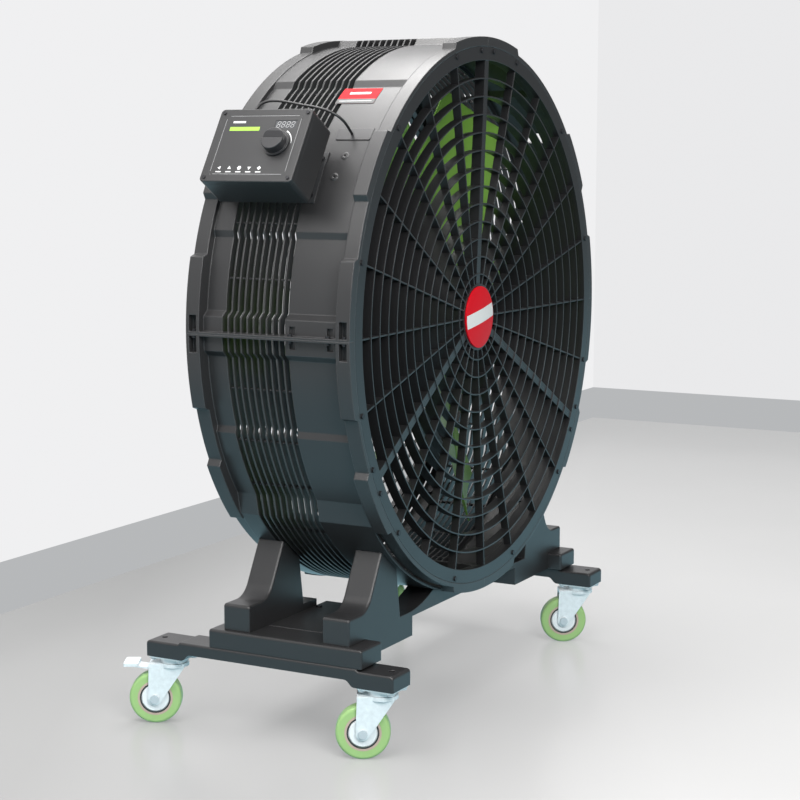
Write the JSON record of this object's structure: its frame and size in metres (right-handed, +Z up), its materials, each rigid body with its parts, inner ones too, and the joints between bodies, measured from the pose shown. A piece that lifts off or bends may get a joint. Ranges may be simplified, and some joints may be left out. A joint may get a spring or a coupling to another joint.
{
  "type": "industrial floor fan",
  "caption": "Large drum fan on a wheeled stand, with a spoked grille, a spinning impeller, a side control box and swivel casters.",
  "frame": {"origin": "on the floor under the fan's axis, midway between the front and rear casters", "axes": "+Z up, +Y from the front grille to the back, +X to the right of someone facing the front grille"},
  "size_m": [1.1187, 0.5892, 1.307],
  "materials": {
    "drum_moulding": "fine-grained dark grey moulding",
    "grille_moulding": "satin near-black moulding",
    "stand_moulding": "fine-grained warm dark grey moulding",
    "dark_steel": "blackened steel",
    "red_badge": "gloss red",
    "blade_green": "satin lime green",
    "hub_black": "satin black",
    "motor_casting": "cast aluminium",
    "bright_steel": "machined steel",
    "zinc_plate": "bright zinc plate",
    "zinc_core": "die-cast zinc alloy",
    "green_tyre": "lime green polyurethane",
    "box_grey": "satin mid grey moulding",
    "bracket_paint": "dark grey powder coat",
    "panel_print": "dark printed sheet",
    "display_glass": "smoked window",
    "knob_black": "satin black",
    "lead_black": "black sheath",
    "board_green": "circuit board"
  },
  "bodies": {
    "stand_and_drum": {"base_bolts": "dark_steel", "bracket_screws": "dark_steel", "cable_gland": "knob_black", "caster_bolts": "bright_steel", "caster_plates": "zinc_plate", "circuit_board": "board_green", "control_box_bracket": "bracket_paint", "control_box_case": "box_grey", "control_box_lid": "box_grey", "control_panel": "panel_print", "display_window": "display_glass", "drum_lower_left": "drum_moulding", "drum_lower_right": "drum_moulding", "drum_upper_left": "drum_moulding", "drum_upper_right": "drum_moulding", "flange_bolts": "dark_steel", "front_cradle": "stand_moulding", "front_grille_bottom": "grille_moulding", "front_grille_left": "grille_moulding", "front_grille_right": "grille_moulding", "grille_screws": "dark_steel", "hub_cap": "red_badge", "lead_grommet": "knob_black", "left_foot_beam": "stand_moulding", "left_pedestal": "stand_moulding", "left_rear_leg": "stand_moulding", "lid_screws": "dark_steel", "motor_bolts": "dark_steel", "motor_lead": "lead_black", "motor_mount": "motor_casting", "motor_stator": "motor_casting", "rear_guard": "grille_moulding", "right_foot_beam": "stand_moulding", "right_pedestal": "stand_moulding", "right_rear_leg": "stand_moulding", "saddle_bolts": "dark_steel", "tray_screws": "dark_steel"},
    "impeller": {"impeller_hub": "hub_black", "impeller_blades": "blade_green", "motor_rotor": "motor_casting", "motor_shaft": "bright_steel"},
    "knob": {"speed_knob": "knob_black"},
    "fork_front_right": {"caster_fork_front_right": "zinc_plate", "axle_front_right": "bright_steel"},
    "wheel_front_right": {"tyre_front_right": "green_tyre", "wheel_core_front_right": "zinc_core"},
    "fork_front_left": {"caster_fork_front_left": "zinc_plate", "axle_front_left": "bright_steel"},
    "wheel_front_left": {"tyre_front_left": "green_tyre", "wheel_core_front_left": "zinc_core"},
    "fork_rear_right": {"caster_fork_rear_right": "zinc_plate", "axle_rear_right": "bright_steel"},
    "wheel_rear_right": {"tyre_rear_right": "green_tyre", "wheel_core_rear_right": "zinc_core"},
    "pedal_rear_right": {"brake_pedal_rear_right": "zinc_plate"},
    "fork_rear_left": {"caster_fork_rear_left": "zinc_plate", "axle_rear_left": "bright_steel"},
    "wheel_rear_left": {"tyre_rear_left": "green_tyre", "wheel_core_rear_left": "zinc_core"},
    "pedal_rear_left": {"brake_pedal_rear_left": "zinc_plate"}
  },
  "joints": [
    {"name": "impeller_spin", "type": "hinge", "parent": "stand_and_drum", "child": "impeller", "pos_m": [0, -0.063, 0.762], "axis": [0, 1, 0], "continuous": true},
    {"name": "speed_knob_turn", "type": "hinge", "parent": "stand_and_drum", "child": "knob", "pos_m": [-0.53373, -0.0625, 1.10047], "axis": [-0.8462, 0, 0.5329], "range_deg": [-150, 150]},
    {"name": "swivel_front_right", "type": "hinge", "parent": "stand_and_drum", "child": "fork_front_right", "pos_m": [0.4565, -0.228, 0.115], "axis": [0, 0, 1], "continuous": true},
    {"name": "roll_front_right", "type": "hinge", "parent": "fork_front_right", "child": "wheel_front_right", "pos_m": [0.44007, -0.1971, 0.05], "axis": [0.8829, 0.4695, 0], "continuous": true},
    {"name": "swivel_front_left", "type": "hinge", "parent": "stand_and_drum", "child": "fork_front_left", "pos_m": [-0.4565, -0.228, 0.115], "axis": [0, 0, 1], "continuous": true},
    {"name": "roll_front_left", "type": "hinge", "parent": "fork_front_left", "child": "wheel_front_left", "pos_m": [-0.47293, -0.1971, 0.05], "axis": [0.8829, 0.4695, 0], "continuous": true},
    {"name": "swivel_rear_right", "type": "hinge", "parent": "stand_and_drum", "child": "fork_rear_right", "pos_m": [0.4565, 0.228, 0.115], "axis": [0, 0, 1], "continuous": true},
    {"name": "roll_rear_right", "type": "hinge", "parent": "fork_rear_right", "child": "wheel_rear_right", "pos_m": [0.44007, 0.2589, 0.05], "axis": [0.8829, 0.4695, 0], "continuous": true},
    {"name": "brake_rear_right", "type": "hinge", "parent": "fork_rear_right", "child": "pedal_rear_right", "pos_m": [0.44429, 0.25096, 0.106], "axis": [0.8829, 0.4695, 0], "range_deg": [-14, 0]},
    {"name": "swivel_rear_left", "type": "hinge", "parent": "stand_and_drum", "child": "fork_rear_left", "pos_m": [-0.4565, 0.228, 0.115], "axis": [0, 0, 1], "continuous": true},
    {"name": "roll_rear_left", "type": "hinge", "parent": "fork_rear_left", "child": "wheel_rear_left", "pos_m": [-0.47293, 0.2589, 0.05], "axis": [0.8829, 0.4695, 0], "continuous": true},
    {"name": "brake_rear_left", "type": "hinge", "parent": "fork_rear_left", "child": "pedal_rear_left", "pos_m": [-0.46871, 0.25096, 0.106], "axis": [0.8829, 0.4695, 0], "range_deg": [-14, 0]}
  ]
}
